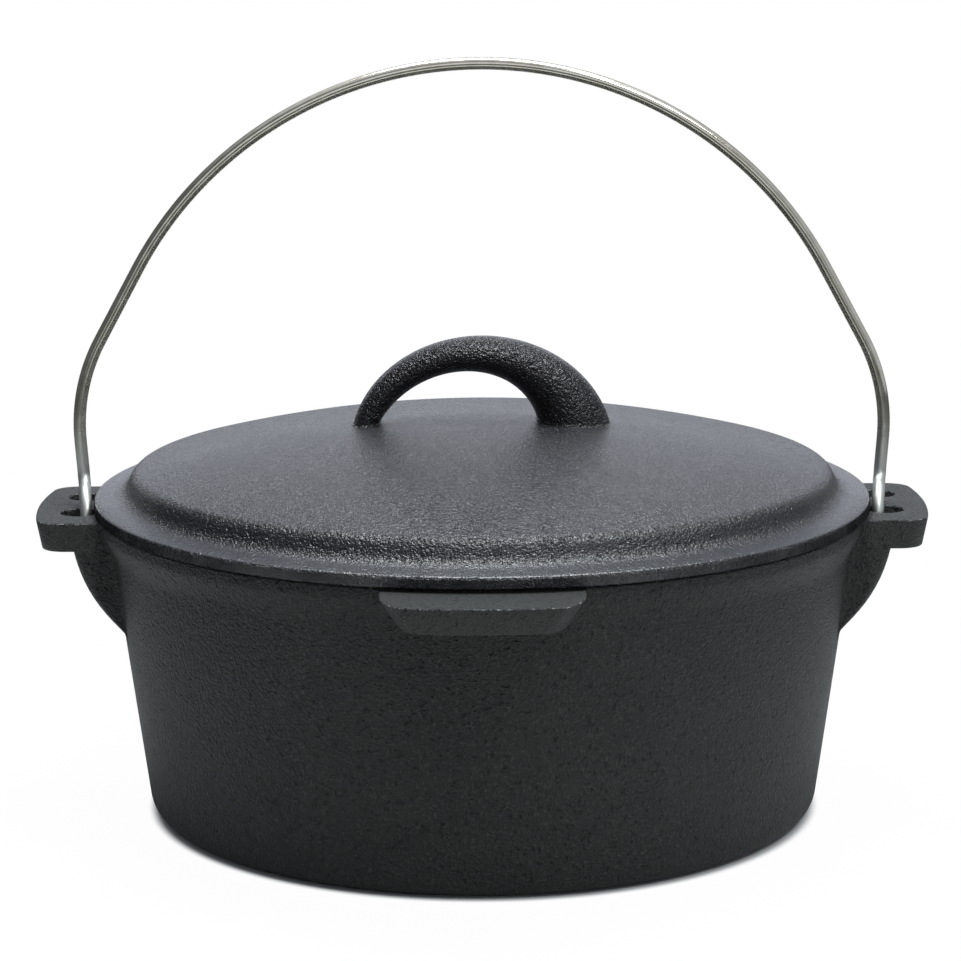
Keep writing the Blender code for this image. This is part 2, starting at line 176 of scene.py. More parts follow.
# Painted light on the lugs, wear and dullness, each from where it starts to where it is full
PAINTED_LIGHT_LUG_REACH = (RIM_RADIUS + 0.001, RIM_RADIUS + 0.004)
NICKS_TOP = (0.00006, 0.00014)            # depth below a lug's top face
NICKS_FOOT = (0.00024, 0.00034)
NICK_GRAIN = 0.0016
NICK_LEVEL = 0.30
DULL_WIRE_Z = (0.108, 0.135)              # dull at the lower height, bright at the upper

# Studio, with distances from the pot's axis
FLOOR_HALF_SIZE = 6.0
SHADOW_END = (0.1060, 0.1100)             # where the contact shadow gives way to white
SHADOW_RUNOUT = (0.12, 0.35)
SHADOW_RUNOUT_SHARE = 0.02
DIM_FLOOR = (0.18, 0.50)                  # where the floor turns dim in the iron's reflections
LAMP_AIM = Vector((0, 0, 0.1))

# Camera, from the photograph's perspective
IMAGE_PIXELS = 961
FOCAL_PIXELS = 3452
SENSOR_WIDTH = 36
CAMERA_SPOT = Vector((-0.00046, -1.09265, 0.32962))
CAMERA_AIM = Vector((-0.00046, 0, 0.10614))
CAMERA_ROLL = math.radians(0.246)


def arc(centre, radius, start, end, count):
    """Points along a circular arc in a plane, both ends included."""
    angles = (start + (end - start) * i / count for i in range(count + 1))
    return [Vector((centre[0] + radius * math.cos(a), centre[1] + radius * math.sin(a))) for a in angles]


def rounded(corners):
    """An open outline through (x, y, radius) corners, with each radius drawn as an arc."""
    points = [Vector(corners[0][:2])]
    for before, corner, after in zip(corners, corners[1:], corners[2:]):
        here = Vector(corner[:2])
        back = (Vector(before[:2]) - here).normalized()
        ahead = (Vector(after[:2]) - here).normalized()
        if corner[2] == 0:
            points.append(here)
            continue
        half = back.angle(ahead) / 2
        centre = here + (back + ahead).normalized() * (corner[2] / math.sin(half))
        first = here + back * (corner[2] / math.tan(half)) - centre
        last = here + ahead * (corner[2] / math.tan(half)) - centre
        start = math.atan2(first.y, first.x)
        sweep = math.atan2(first.x * last.y - first.y * last.x, first.dot(last))
        count = max(3, math.ceil(abs(sweep) / ARC_STEP))
        points += arc(centre, corner[2], start, start + sweep, count)
    points.append(Vector(corners[-1][:2]))
    return points


def filled_in(points, spacing):
    """The same outline with points added along its long straight runs."""
    result = [points[0]]
    for start, end in zip(points, points[1:]):
        count = max(1, math.ceil((end - start).length / spacing))
        result += [start.lerp(end, i / count) for i in range(1, count + 1)]
    return result


def ease(share):
    """Smooth change from 0 to 1."""
    return share * share * (3 - 2 * share)


def meshed(name, bm):
    """Makes an object of a bmesh, its doubles merged and its faces pointing outwards."""
    bmesh.ops.remove_doubles(bm, verts=bm.verts, dist=MERGE_DISTANCE)
    bmesh.ops.recalc_face_normals(bm, faces=bm.faces)
    mesh = bpy.data.meshes.new(name)
    bm.to_mesh(mesh)
    bm.free()
    thing = bpy.data.objects.new(name, mesh)
    bpy.context.scene.collection.objects.link(thing)
    return thing


def spun(name, outline):
    """Spins an outline that starts and ends on the Z axis into a closed body."""
    bm = bmesh.new()
    verts = [bm.verts.new((point.x, 0, point.y)) for point in outline]
    edges = [bm.edges.new(pair) for pair in zip(verts, verts[1:])]
    bmesh.ops.spin(bm, geom=verts + edges, cent=(0, 0, 0), axis=(0, 0, 1), dvec=(0, 0, 0),
                   angle=math.tau, steps=ROUND_SEGMENTS, use_merge=True)
    return meshed(name, bm)


def next_ring(bm, ring, places):
    """Extrudes a ring of vertices to the places of the next section."""
    edges = [bm.edges.get(pair) for pair in zip(ring, ring[1:] + ring[:1])]
    made = bmesh.ops.extrude_edge_only(bm, edges=edges)["geom"]
    fresh = {item for item in made if isinstance(item, bmesh.types.BMVert)}
    grown = []
    for vert, place in zip(ring, places):
        twin = next(edge.other_vert(vert) for edge in vert.link_edges if edge.other_vert(vert) in fresh)
        twin.co = place
        grown.append(twin)
    return grown


def lofted(name, sections):
    """Joins closed sections of equal point count, with a flat cap at each end."""
    bm = bmesh.new()
    ring = [bm.verts.new(place) for place in sections[0]]
    bm.faces.new(ring)
    for places in sections[1:]:
        ring = next_ring(bm, ring, places)
    bm.faces.new(ring)
    return meshed(name, bm)


def turned_copy(thing, angle):
    """A copy of a mesh turned about the pot's axis."""
    mesh = thing.data.copy()
    mesh.transform(Matrix.Rotation(angle, 4, "Z"))
    copy = bpy.data.objects.new(f"{thing.name}_turned", mesh)
    bpy.context.scene.collection.objects.link(copy)
    return copy


def combined(target, tools, operation):
    """Applies a Boolean with each tool in turn, cleans the result and removes the tool."""
    for tool in tools:
        modifier = target.modifiers.new(tool.name, "BOOLEAN")
        modifier.operation = operation
        modifier.object = tool
        bpy.context.view_layer.update()
        result = bpy.data.meshes.new_from_object(target.evaluated_get(bpy.context.evaluated_depsgraph_get()))
        bm = bmesh.new()
        bm.from_mesh(result)
        bmesh.ops.remove_doubles(bm, verts=bm.verts, dist=MERGE_DISTANCE)
        bmesh.ops.dissolve_degenerate(bm, edges=bm.edges, dist=MERGE_DISTANCE)
        bm.to_mesh(result)
        bm.free()
        target.modifiers.clear()
        target.data = result
        bpy.data.objects.remove(tool)
    return target


def coated(thing, material):
    """Gives a whole piece one finish."""
    thing.data.materials.clear()
    thing.data.materials.append(material)
    return thing


def finished(thing, body, node):
    """Shades a piece and ties it to the node that it stands for."""
    thing.data.shade_smooth()
    thing.data.set_sharp_from_angle(angle=SHARP_ANGLE)
    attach(thing, body)
    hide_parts(node)
    return thing


def wall_radius(z):
    """Outer radius of the plain sloping wall at a height."""
    return BASE_RADIUS + WALL_SLOPE * z


def pot_outline():
    """Half section of the pot, out along the base, up the wall and back down the inside."""
    inner = BASE_RADIUS - WALL_THICKNESS / math.cos(math.atan(WALL_SLOPE))
    return rounded([
        (0, 0, 0),
        (BASE_RADIUS, 0, BASE_CORNER),
        (wall_radius(FLARE_START_Z), FLARE_START_Z, FLARE_START_ROUND),
        (RIM_RADIUS, FLARE_END_Z, FLARE_END_ROUND),
        (RIM_RADIUS, RIM_Z, RIM_EDGE),
        (inner + WALL_SLOPE * RIM_Z, RIM_Z, RIM_EDGE),
        (inner + WALL_SLOPE * FLOOR_THICKNESS, FLOOR_THICKNESS, INNER_CORNER),
        (0, FLOOR_THICKNESS, 0),
    ])


def outer_radius(z):
    """Outer radius of the rounded section at a height, with the flare under the rim."""
    outline = pot_outline()
    for low, high in zip(outline, outline[1:]):
        if low.y <= z <= high.y and high.y > low.y and low.x > BASE_RADIUS - BASE_CORNER:
            return low.x + (high.x - low.x) * (z - low.y) / (high.y - low.y)
    return wall_radius(z)


def lug_side(wall, reach, y, corner, stretch, fillet):
    """One side of a lug's plan: fillet off the wall, straight run, and corner to the end."""
    fillet = min(fillet, FILLET_SHARE * (reach - wall))
    corner = min(corner, CORNER_SHARE * (reach - wall - fillet) / stretch)
    root = Vector((math.sqrt((wall + fillet) ** 2 - (y + fillet) ** 2), y + fillet))
    bend = Vector((math.sqrt((reach - corner) ** 2 - (y - corner) ** 2), y - corner))
    root_angle = math.atan2(root.y, root.x)
    bend_angle = math.atan2(bend.y, bend.x)
    points = arc(root, fillet, root_angle + math.pi, 1.5 * math.pi, FILLET_STEPS)
    turn = arc(bend, corner, math.pi / 2, bend_angle, CORNER_STEPS)
    end = turn[-1].x
    points += [Vector((end - (end - point.x) * stretch, point.y)) for point in turn]
    return points, math.atan2(turn[-1].y, end)


def lug_section(z, reach, low, high, corner, inset=0.0, *,
                root_depth=ROOT_DEPTH, stretch=1.0, fillet=ROOT_FILLET):
    """Plan of a lug between two sides, round-ended, its root inside the wall, all drawn in by an inset."""
    wall = outer_radius(z) - ROOT_OVERLAP
    reach -= inset
    low += inset
    high -= inset
    upper, upper_bend = lug_side(wall, reach, high, corner, stretch, fillet)
    lower, lower_bend = lug_side(wall, reach, -low, corner, stretch, fillet)
    outline = upper
    outline += arc((0, 0), reach, upper_bend, -lower_bend, END_STEPS)[1:-1]
    outline += [Vector((point.x, -point.y)) for point in reversed(lower)]
    root = wall - root_depth + inset
    outline += arc((0, 0), root, math.asin((low + ROOT_NARROWING) / root),
                   math.asin((high - ROOT_NARROWING) / root), END_STEPS)
    return [Vector((point.x, point.y, z)) for point in outline]


def plate_sections(top_z, bottom_z, reach, top_half, bottom_half, corner, **shape):
    """Sections of a drafted plate with rounded top and bottom edges, from the top down."""
    edge = [(PLATE_EDGE * (1 - math.cos(turn)), PLATE_EDGE * (1 - math.sin(turn)))
            for turn in (math.pi / 2 * i / EDGE_STEPS for i in range(EDGE_STEPS + 1))]
    edge.insert(0, (0, PLATE_EDGE + FLAT_BORDER))
    low_reach = reach - PLATE_DRAFT
    sections = [lug_section(top_z - drop, reach, -top_half, top_half, corner, inset, **shape)
                for drop, inset in edge]
    sections += [lug_section(bottom_z + rise, low_reach, -bottom_half, bottom_half, corner, inset, **shape)
                 for rise, inset in reversed(edge)]
    return sections


def make_grip(name):
    """A plain ledge whose underside is filleted into the wall."""
    sections = plate_sections(GRIP_TOP_Z, GRIP_BOTTOM_Z, GRIP_REACH, GRIP_HALF_WIDTH,
                              GRIP_BOTTOM_HALF_WIDTH, GRIP_CORNER, stretch=GRIP_STRETCH, fillet=GRIP_FILLET)
    inset = PLATE_EDGE + 2 * FLAT_BORDER
    for i in range(FILLET_STEPS + 1):
        turn = math.pi / 2 * (1 - i / FILLET_STEPS)
        z = GRIP_BOTTOM_Z - GRIP_FOOT * (1 - math.sin(turn))
        reach = outer_radius(z) + GRIP_FOOT * (1 - math.cos(turn)) - FOOT_SINK + inset
        sections.append(lug_section(z, reach, -GRIP_BOTTOM_HALF_WIDTH, GRIP_BOTTOM_HALF_WIDTH,
                                    GRIP_CORNER, inset, stretch=GRIP_STRETCH, fillet=GRIP_FILLET))
    return lofted(name, sections)


def web_reach(z):
    """Radius of a web under an ear: a convex arc from the plate, then a small hollow out on the wall."""
    top = Vector((WEB_REACH, PLATE_BOTTOM_Z))
    bottom = Vector((wall_radius(WEB_BOTTOM_Z), WEB_BOTTOM_Z))
    chord = top - bottom
    inward = Vector((-chord.y, chord.x)).normalized()
    sagitta = math.sqrt(WEB_ARC_RADIUS ** 2 - (chord.length / 2) ** 2)
    centre = (top + bottom) / 2 + inward * sagitta
    proud = centre.x + math.sqrt(WEB_ARC_RADIUS ** 2 - (z - centre.y) ** 2) - wall_radius(z)
    return wall_radius(z) + (proud + math.hypot(proud, WEB_FOOT)) / 2 - FOOT_SINK


def make_web(name, side):
    """One of the two webs under an ear, filleted into the plate above on its inner face."""
    heights = [PLATE_BOTTOM_Z + WEB_INTO_PLATE]
    heights += [PLATE_BOTTOM_Z + FOOT_SINK - RECESS_CORNER * (1 - math.cos(math.pi / 2 * i / FILLET_STEPS))
                for i in range(FILLET_STEPS + 1)]
    start = heights[-1]
    heights += [start + (WEB_END_Z - start) * math.sin(math.pi / 2 * i / WEB_LEVELS)
                for i in range(1, WEB_LEVELS + 1)]
    sections = []
    for z in heights:
        drop = (PLATE_BOTTOM_Z - z) / (PLATE_BOTTOM_Z - WEB_END_Z)
        below = max(0, RECESS_CORNER - max(0, PLATE_BOTTOM_Z - z))
        growth = RECESS_CORNER - math.sqrt(RECESS_CORNER ** 2 - below ** 2)
        outer = EAR_HALF_WIDTH - PLATE_EDGE / 2 - WEB_DRAFT * (1 + drop)
        inner = RECESS_HALF_WIDTH + RECESS_DRAFT * drop - growth
        low, high = (inner, outer) if side > 0 else (-outer, -inner)
        sections.append(lug_section(z, web_reach(min(z, PLATE_BOTTOM_Z)), low, high, WEB_CORNER,
                                    root_depth=WEB_ROOT_DEPTH))
    return lofted(name, sections)


def hole_cutter(name, y):
    """A hole of an ear as a solid, with its rims rounded outwards."""
    def rim(z, way):
        centre = (HOLE_RADIUS + HOLE_EDGE, z - way * HOLE_EDGE)
        start = math.pi
        return arc(centre, HOLE_EDGE, start, start - way * math.pi / 2, EDGE_STEPS + 1)

    bottom = PLATE_BOTTOM_Z - FOOT_SINK
    top = PLATE_TOP_Z + FOOT_SINK
    outline = [Vector((0, bottom - HOLE_PAST)), Vector((HOLE_RADIUS + HOLE_EDGE, bottom - HOLE_PAST))]
    outline += reversed(rim(bottom, -1))
    outline += rim(top, 1)
    outline += [Vector((HOLE_RADIUS + HOLE_EDGE, top + HOLE_PAST)), Vector((0, top + HOLE_PAST))]
    bm = bmesh.new()
    verts = [bm.verts.new((HOLE_X + point.x, y, point.y)) for point in outline]
    edges = [bm.edges.new(pair) for pair in zip(verts, verts[1:])]
    bmesh.ops.spin(bm, geom=verts + edges, cent=(HOLE_X, y, 0), axis=(0, 0, 1), dvec=(0, 0, 0),
                   angle=math.tau, steps=HOLE_SEGMENTS, use_merge=True)
    return meshed(name, bm)


def make_ear(name):
    """A bail ear: plate, two webs and two holes, its root still inside the wall."""
    ear = lofted(name, plate_sections(PLATE_TOP_Z, PLATE_BOTTOM_Z, EAR_REACH, EAR_HALF_WIDTH,
                                      EAR_HALF_WIDTH - WEB_DRAFT, EAR_CORNER))
    webs = [make_web(f"{name}_web_{side}", side) for side in (-1, 1)]
    combined(ear, webs, "UNION")
    holes = [hole_cutter(f"{name}_hole_{side}", side * HOLE_Y) for side in (-1, 1)]
    return combined(ear, holes, "DIFFERENCE")


def make_pot():
    """The pot casting: turned shell joined with two ears and two grip tabs."""
    shell = spun("camp_pot", filled_in(pot_outline(), WALL_SPACING))
    ear = make_ear("ear")
    grip = turned_copy(make_grip("grip"), math.pi / 2)
    bpy.data.objects.remove(bpy.data.objects["grip"])
    return combined(shell, [ear, turned_copy(ear, math.pi), grip, turned_copy(grip, math.pi)], "UNION")


def dome(radius, crown, reach, steps):
    """Points along a shallow dome from the axis to a radius."""
    return [Vector((r, crown - radius + math.sqrt(radius ** 2 - r ** 2)))
            for r in (reach * i / steps for i in range(steps + 1))]


def lid_outline():
    """Half section of the lid's shell, over the top and back along the underside."""
    top = dome(DOME_RADIUS, CROWN_Z, SHOULDER_RADIUS, DOME_STEPS)
    shoulder = top.pop()
    under = dome(DOME_RADIUS - LID_THICKNESS, CROWN_Z - LID_THICKNESS,
                 SHOULDER_RADIUS - SHOULDER_INSET, DOME_STEPS)
    under_shoulder = under.pop()
    lip_inner = LIP_RADIUS - LIP_THICKNESS
    rim = rounded([
        (*top[-1], 0),
        (*shoulder, SHOULDER_ROUND),
        (STEP_FOOT_RADIUS, BRIM_FOOT_Z, FOOT_ROUND),
        (LID_RADIUS, BRIM_EDGE_Z, BRIM_ROUND),
        (LID_RADIUS, BRIM_BOTTOM_Z, BRIM_ROUND / 2),
        (LIP_RADIUS, BRIM_BOTTOM_Z, 0),
        (LIP_RADIUS - LIP_DRAFT, LIP_BOTTOM_Z, LIP_EDGE),
        (lip_inner, LIP_BOTTOM_Z, LIP_EDGE),
        (lip_inner - LIP_DRAFT, BRIM_FOOT_Z - LIP_THICKNESS / 2, LIP_INNER_ROUND),
        (*under_shoulder, SHOULDER_ROUND),
        (*under[-1], 0),
    ])
    return top[:-1] + rim + under[-2::-1]


def handle_sections():
    """Sections of the arch, thin at its left foot and swelling to a stout right foot."""
    def on_ellipse(ellipse, low_shift, high_shift, along):
        lead = math.asin((HANDLE_ROOT_Z - HANDLE_BASE_Z) / ellipse[1])
        angle = math.pi - lead - (math.pi - 2 * lead) * along
        shift = low_shift + (high_shift - low_shift) * math.sin(angle)
        rise = ellipse[1] * math.sin(angle)
        return Vector((shift + ellipse[0] * math.cos(angle), 0, HANDLE_BASE_Z + rise))

    foot = [FOOT_SHARE * i / FOOT_SECTIONS for i in range(FOOT_SECTIONS)]
    middle = [FOOT_SHARE + (1 - 2 * FOOT_SHARE) * i / HANDLE_SECTIONS for i in range(HANDLE_SECTIONS + 1)]
    sections = []
    for along in foot + middle + [1 - share for share in reversed(foot)]:
        outer = on_ellipse(HANDLE_OUTER, 0, 0, along)
        inner = on_ellipse(HANDLE_INNER, *HANDLE_INNER_SHIFT, along)
        depth = HANDLE_DEPTH[0] + (HANDLE_DEPTH[1] - HANDLE_DEPTH[0]) * ease(along)
        centre = (outer + inner) / 2
        across = (outer - inner) / 2
        turns = (math.tau * k / HANDLE_SIDES for k in range(HANDLE_SIDES))
        section = [centre + across * math.cos(t) + Vector((0, depth * math.sin(t), 0)) for t in turns]
        sections.append([spread_at_foot(place, centre) for place in section])
    return sections


def spread_at_foot(place, centre):
    """Moves a point of the arch outwards where it comes close to the dome, as a fillet would."""
    radius = math.hypot(place.x, place.y)
    rise = place.z - CROWN_Z + DOME_RADIUS - math.sqrt(DOME_RADIUS ** 2 - radius ** 2)
    lack = min(1, max(0, 1 - rise / HANDLE_FOOT))
    return place + (place - centre).normalized() * HANDLE_FOOT * (1 - math.sqrt(1 - lack ** 2))


def make_lid(plate, arch, brim_side):
    """The lid casting, whose plate, arched handle and brim's side each have a finish of their own."""
    shell = spun("camp_lid", filled_in(lid_outline(), WALL_SPACING))
    handle = lofted("lid_arch", handle_sections())
    for thing in (shell, handle):
        for material in (plate, arch, brim_side):
            thing.data.materials.append(material)
    for face in handle.data.polygons:
        face.material_index = 1
    # Faces of the brim's side take the black finish that paints shade there.
    for face in shell.data.polygons:
        outward = face.normal.x * face.center.x + face.normal.y * face.center.y
        on_side = BRIM_BOTTOM_Z < face.center.z < BRIM_EDGE_Z and face.normal.z < BRIM_SIDE_RISE
        if outward > 0 and on_side:
            face.material_index = 2
    return combined(shell, [handle], "UNION")


def spaced(length, spacing):
    """Fractions from 0 to 1 along a stretch, at about the given spacing."""
    count = max(2, math.ceil(length / spacing))
    return [i / count for i in range(1, count + 1)]


def hook(foot):
    """The bent end: forward and inward off the leg, down, under the ear's bar and up the back hole."""
    tilt = math.atan2(HOOK_LEAD_RADIUS, foot.z - BAIL_AXIS_Z)
    lead_sweep = math.pi / 2 - tilt
    points = []
    for u in spaced(HOOK_LEAD_RADIUS * lead_sweep, HOOK_SPACING):
        angle = lead_sweep * u
        points.append(Vector((0, HOOK_LEAD_RADIUS * (math.cos(angle) - 1),
                              foot.z - HOOK_LEAD_RADIUS * math.sin(angle))))
    for u in spaced(HOOK_RADIUS * (HOOK_END_ANGLE - tilt), HOOK_SPACING):
        angle = tilt + (HOOK_END_ANGLE - tilt) * u
        points.append(Vector((0, -HOOK_RADIUS * math.sin(angle),
                              BAIL_AXIS_Z + HOOK_RADIUS * math.cos(angle))))
    for point in points:
        lean = min(1, (foot.z - point.z) / (foot.z - PLATE_TOP_Z))
        point.x = foot.x + (HOOK_X - foot.x) * ease(lean)
    return points


def half_bail():
    """Centre line of the right half of the wire, from the apex to the end inside the back hole."""
    points = [Vector((0, 0, BAIL_APEX_Z))]
    for u in spaced(ARCH_RADIUS * ARCH_ANGLE, ARCH_SPACING):
        angle = ARCH_ANGLE * u
        drop = ARCH_RADIUS * (1 - math.cos(angle))
        points.append(Vector((ARCH_RADIUS * math.sin(angle), 0, BAIL_APEX_Z - drop)))
    heading = Vector((math.cos(ARCH_ANGLE), 0, -math.sin(ARCH_ANGLE)))
    start = points[-1]
    corner = start + heading * ARCH_STRAIGHT
    points += [start.lerp(corner, u) for u in spaced(ARCH_STRAIGHT, ARCH_SPACING)]
    bend = corner - SHOULDER_BEND_RADIUS * Vector((math.sin(ARCH_ANGLE), 0, math.cos(ARCH_ANGLE)))
    for u in spaced(SHOULDER_BEND_RADIUS * SHOULDER_BEND_ANGLE, ARCH_SPACING):
        angle = ARCH_ANGLE + SHOULDER_BEND_ANGLE * u
        points.append(bend + SHOULDER_BEND_RADIUS * Vector((math.sin(angle), 0, math.cos(angle))))
    lead_z = BAIL_AXIS_Z + math.sqrt((HOOK_RADIUS + HOOK_LEAD_RADIUS) ** 2 - HOOK_LEAD_RADIUS ** 2)
    leg_angle = ARCH_ANGLE + SHOULDER_BEND_ANGLE
    heading = Vector((math.cos(leg_angle), 0, -math.sin(leg_angle)))
    start = points[-1]
    foot = start + heading * ((start.z - lead_z) / math.sin(leg_angle))
    points += [start.lerp(foot, u) for u in spaced((foot - start).length, ARCH_SPACING)]
    return points + hook(foot)


def wire_sections(route):
    """Round sections along a route, kept from twisting, with the two ends rounded off."""
    headings = [(after - before).normalized()
                for before, after in zip([route[0]] + route[:-1], route[1:] + [route[-1]])]
    across = Vector((0, 1, 0))
    sections = []
    for place, heading in zip(route, headings):
        across = (across - heading * across.dot(heading)).normalized()
        other = heading.cross(across)
        turns = (math.tau * k / WIRE_SIDES for k in range(WIRE_SIDES))
        sections.append([place + WIRE_RADIUS * (across * math.cos(t) + other * math.sin(t)) for t in turns])
    first = rounded_end(sections[0], route[0], headings[0] * -1)
    last = rounded_end(sections[-1], route[-1], headings[-1])
    return first[::-1] + sections[1:-1] + last


def rounded_end(section, centre, outward):
    """The last sections of the wire, drawn in over a small radius."""
    result = []
    for i in range(EDGE_STEPS + 1):
        turn = math.pi / 2 * i / EDGE_STEPS
        shrink = 1 - WIRE_END_ROUND / WIRE_RADIUS * (1 - math.cos(turn))
        shift = outward * WIRE_END_ROUND * (math.sin(turn) - 1)
        result.append([centre + (place - centre) * shrink + shift for place in section])
    return result


def make_bail():
    """The wire bail, from one hook's end over the arch to the other."""
    right = half_bail()
    left = [Vector((-point.x, point.y, point.z)) for point in reversed(right[1:])]
    return lofted("wire_bail", wire_sections(left + right))


class Term:
    """A number, colour or vector inside a finish. Arithmetic on it adds Math nodes."""

    def __init__(self, finish, socket):
        self.finish = finish
        self.socket = socket

    def maths(self, operation, *operands):
        return self.finish.node("ShaderNodeMath", {"operation": operation}, dict(enumerate(operands)))

    def __add__(self, other):
        return self.maths("ADD", self, other)

    def __sub__(self, other):
        return self.maths("SUBTRACT", self, other)

    def __rsub__(self, other):
        return self.maths("SUBTRACT", other, self)

    def __mul__(self, other):
        return self.maths("MULTIPLY", self, other)

    __radd__ = __add__
    __rmul__ = __mul__

    def __abs__(self):
        return self.maths("ABSOLUTE", self)

    def step(self, low, high):
        """0 below low, 1 above high and smooth between."""
        return self.finish.node("ShaderNodeMapRange", {"interpolation_type": "SMOOTHSTEP"},
                                {"Value": self, "From Min": low, "From Max": high})


class Finish:
    """A material, or the world, whose nodes are added by one method."""

    def __init__(self, holder):
        holder.use_nodes = True
        self.holder = holder
        self.tree = holder.node_tree

    def node(self, kind, settings=None, sockets=None, output=0):
        node = self.tree.nodes.new(kind)
        for name, value in (settings or {}).items():
            setattr(node, name, value)
        self.feed(node, sockets or {})
        return Term(self, node.outputs[output])

    def feed(self, node, sockets):
        for name, value in sockets.items():
            if isinstance(value, Term):
                self.tree.links.new(value.socket, node.inputs[name])
            else:
                node.inputs[name].default_value = value

    def place(self):
        """The point on the piece, in metres."""
        return self.node("ShaderNodeTexCoord", output="Object")

    def split(self, vector):
        """The three parts of a vector."""
        parts = self.node("ShaderNodeSeparateXYZ", sockets={"Vector": vector}).socket.node.outputs
        return [Term(self, parts[axis]) for axis in "XYZ"]

    def from_axis(self, x, y):
        """Distance from the pot's axis."""
        flat = self.node("ShaderNodeCombineXYZ", sockets={"X": x, "Y": y})
        return self.node("ShaderNodeVectorMath", {"operation": "LENGTH"}, {0: flat}, output="Value")

    def noise(self, grain, detail=2.0, roughness=0.5, distortion=0.0):
        """Soft noise from 0 to 1 whose lumps are about grain metres across."""
        return self.node("ShaderNodeTexNoise", sockets={
            "Vector": self.place(), "Scale": 1 / grain, "Detail": detail,
            "Roughness": roughness, "Distortion": distortion})

    def blend(self, factor, first, second):
        """A colour between two colours."""
        return self.node("ShaderNodeMix", {"data_type": "RGBA"}, {0: factor, 6: first, 7: second}, output=2)

    def bump(self, height, depth):
        """A normal from a height of 0 to 1 that stands for depth metres."""
        return self.node("ShaderNodeBump", sockets={"Height": height, "Distance": depth, "Strength": 1.0})

    def surface(self, **sockets):
        self.feed(self.tree.nodes["Principled BSDF"],
                  {name.replace("_", " "): value for name, value in sockets.items()})
        return self.holder


def grey(level, tint=(1, 1, 1)):
    """An opaque colour of an even level, with a tint."""
    return (level * tint[0], level * tint[1], level * tint[2], 1)


def sand_cast(name, level, tint, roughness, grain, depth, gloss, lug_light_and_nicks=None, brim_smoothing_and_light=None):
    """Seasoned iron as it leaves a sand mould: mottled, with a fine orange peel and small pits."""
    finish = Finish(bpy.data.materials.new(name))
    peel = finish.noise(grain, detail=1.5, roughness=0.55, distortion=0.4)
    grit = finish.noise(grain * 0.5, detail=1.0)
    pits = finish.noise(grain * 1.7, detail=1.0).step(0.60, 0.74)
    swell = finish.noise(grain * 9, detail=2.0)
    mottle = finish.noise(grain * 22, detail=3.0, roughness=0.6)
    darker, paler, tips, pitted = (grey(level * share, tint) for share in (0.82, 1.18, 3.2, 0.3))
    colour = finish.blend(mottle.step(0.3, 0.7), darker, paler)
    # The peel's high spots are coloured paler, partly rubbed high spots and partly painted glints; the pits
    # are coloured darker as painted shade in them.
    colour = finish.blend(peel.step(0.50, 0.74) * 0.6, colour, tips)
    colour = finish.blend(pits * 0.7, colour, pitted)
    rough = (mottle - 0.5) * 0.12 + (grit - 0.5) * 0.25 + roughness
    if lug_light_and_nicks:
        lug, edge = lug_light_and_nicks(finish)
        nicks = edge * finish.noise(NICK_GRAIN, detail=3).step(0.52, 0.64)
        # Painted light: the whole of each lug is coloured paler.
        colour = finish.blend(lug * 0.6, colour, grey(level * 2.8, tint))
        colour = finish.blend(nicks, colour, grey(NICK_LEVEL, tint))
    height = peel * 0.7 + grit * 0.25 + swell * 0.35 - pits * 0.4
    if brim_smoothing_and_light:
        smooth = brim_smoothing_and_light(finish)
        # Painted light: the brim's colour is made paler; its bumps are calmed too.
        colour = finish.blend(smooth * 0.6, colour, grey(level * 5.0, tint))
        height = height * (1 - smooth * 0.6)
    return finish.surface(Base_Color=colour, Roughness=rough, Specular_IOR_Level=gloss,
                          Normal=finish.bump(height, depth))


def painted_light_and_nicks(finish):
    """The lugs, coloured paler all over as painted light, and their rounded top edges, nicked where flash
    was broken off.
    """
    x, y, z = finish.split(finish.place())
    on_ear = (abs(x) - abs(y)).step(-0.001, 0.001)
    depth = on_ear * (PLATE_TOP_Z - GRIP_TOP_Z) + GRIP_TOP_Z - z
    edge = depth.step(*NICKS_TOP) * (1 - depth.step(*NICKS_FOOT))
    lug = finish.from_axis(x, y).step(*PAINTED_LIGHT_LUG_REACH)
    return lug, edge * lug


def on_brim(finish):
    """The lid's brim, which is smoother than its dome and coloured paler as painted light."""
    x, y, _ = finish.split(finish.place())
    return finish.from_axis(x, y).step(STEP_FOOT_RADIUS, STEP_FOOT_RADIUS + FOOT_ROUND)


def black_painted_shade(name, level, roughness, grain, depth):
    """The brim's side as painted shade: black at every angle, and wrinkled."""
    finish = Finish(bpy.data.materials.new(name))
    warp = finish.noise(grain, detail=1.5, roughness=0.5, distortion=1.2)
    ridge = 1 - abs(warp - 0.5) * 3.2
    swell = finish.noise(0.006, detail=2.0)
    mottle = finish.noise(0.015, detail=3.0)
    colour = finish.blend(mottle.step(0.3, 0.7), grey(level * 0.8), grey(level * 1.2))
    rough = (mottle - 0.5) * 0.10 + roughness
    height = ridge * 0.5 + warp * 0.4 + swell * 1.2
    return finish.surface(Base_Color=colour, Roughness=rough, Metallic=1.0, Specular_Tint=grey(0.0),
                          Normal=finish.bump(height, depth))


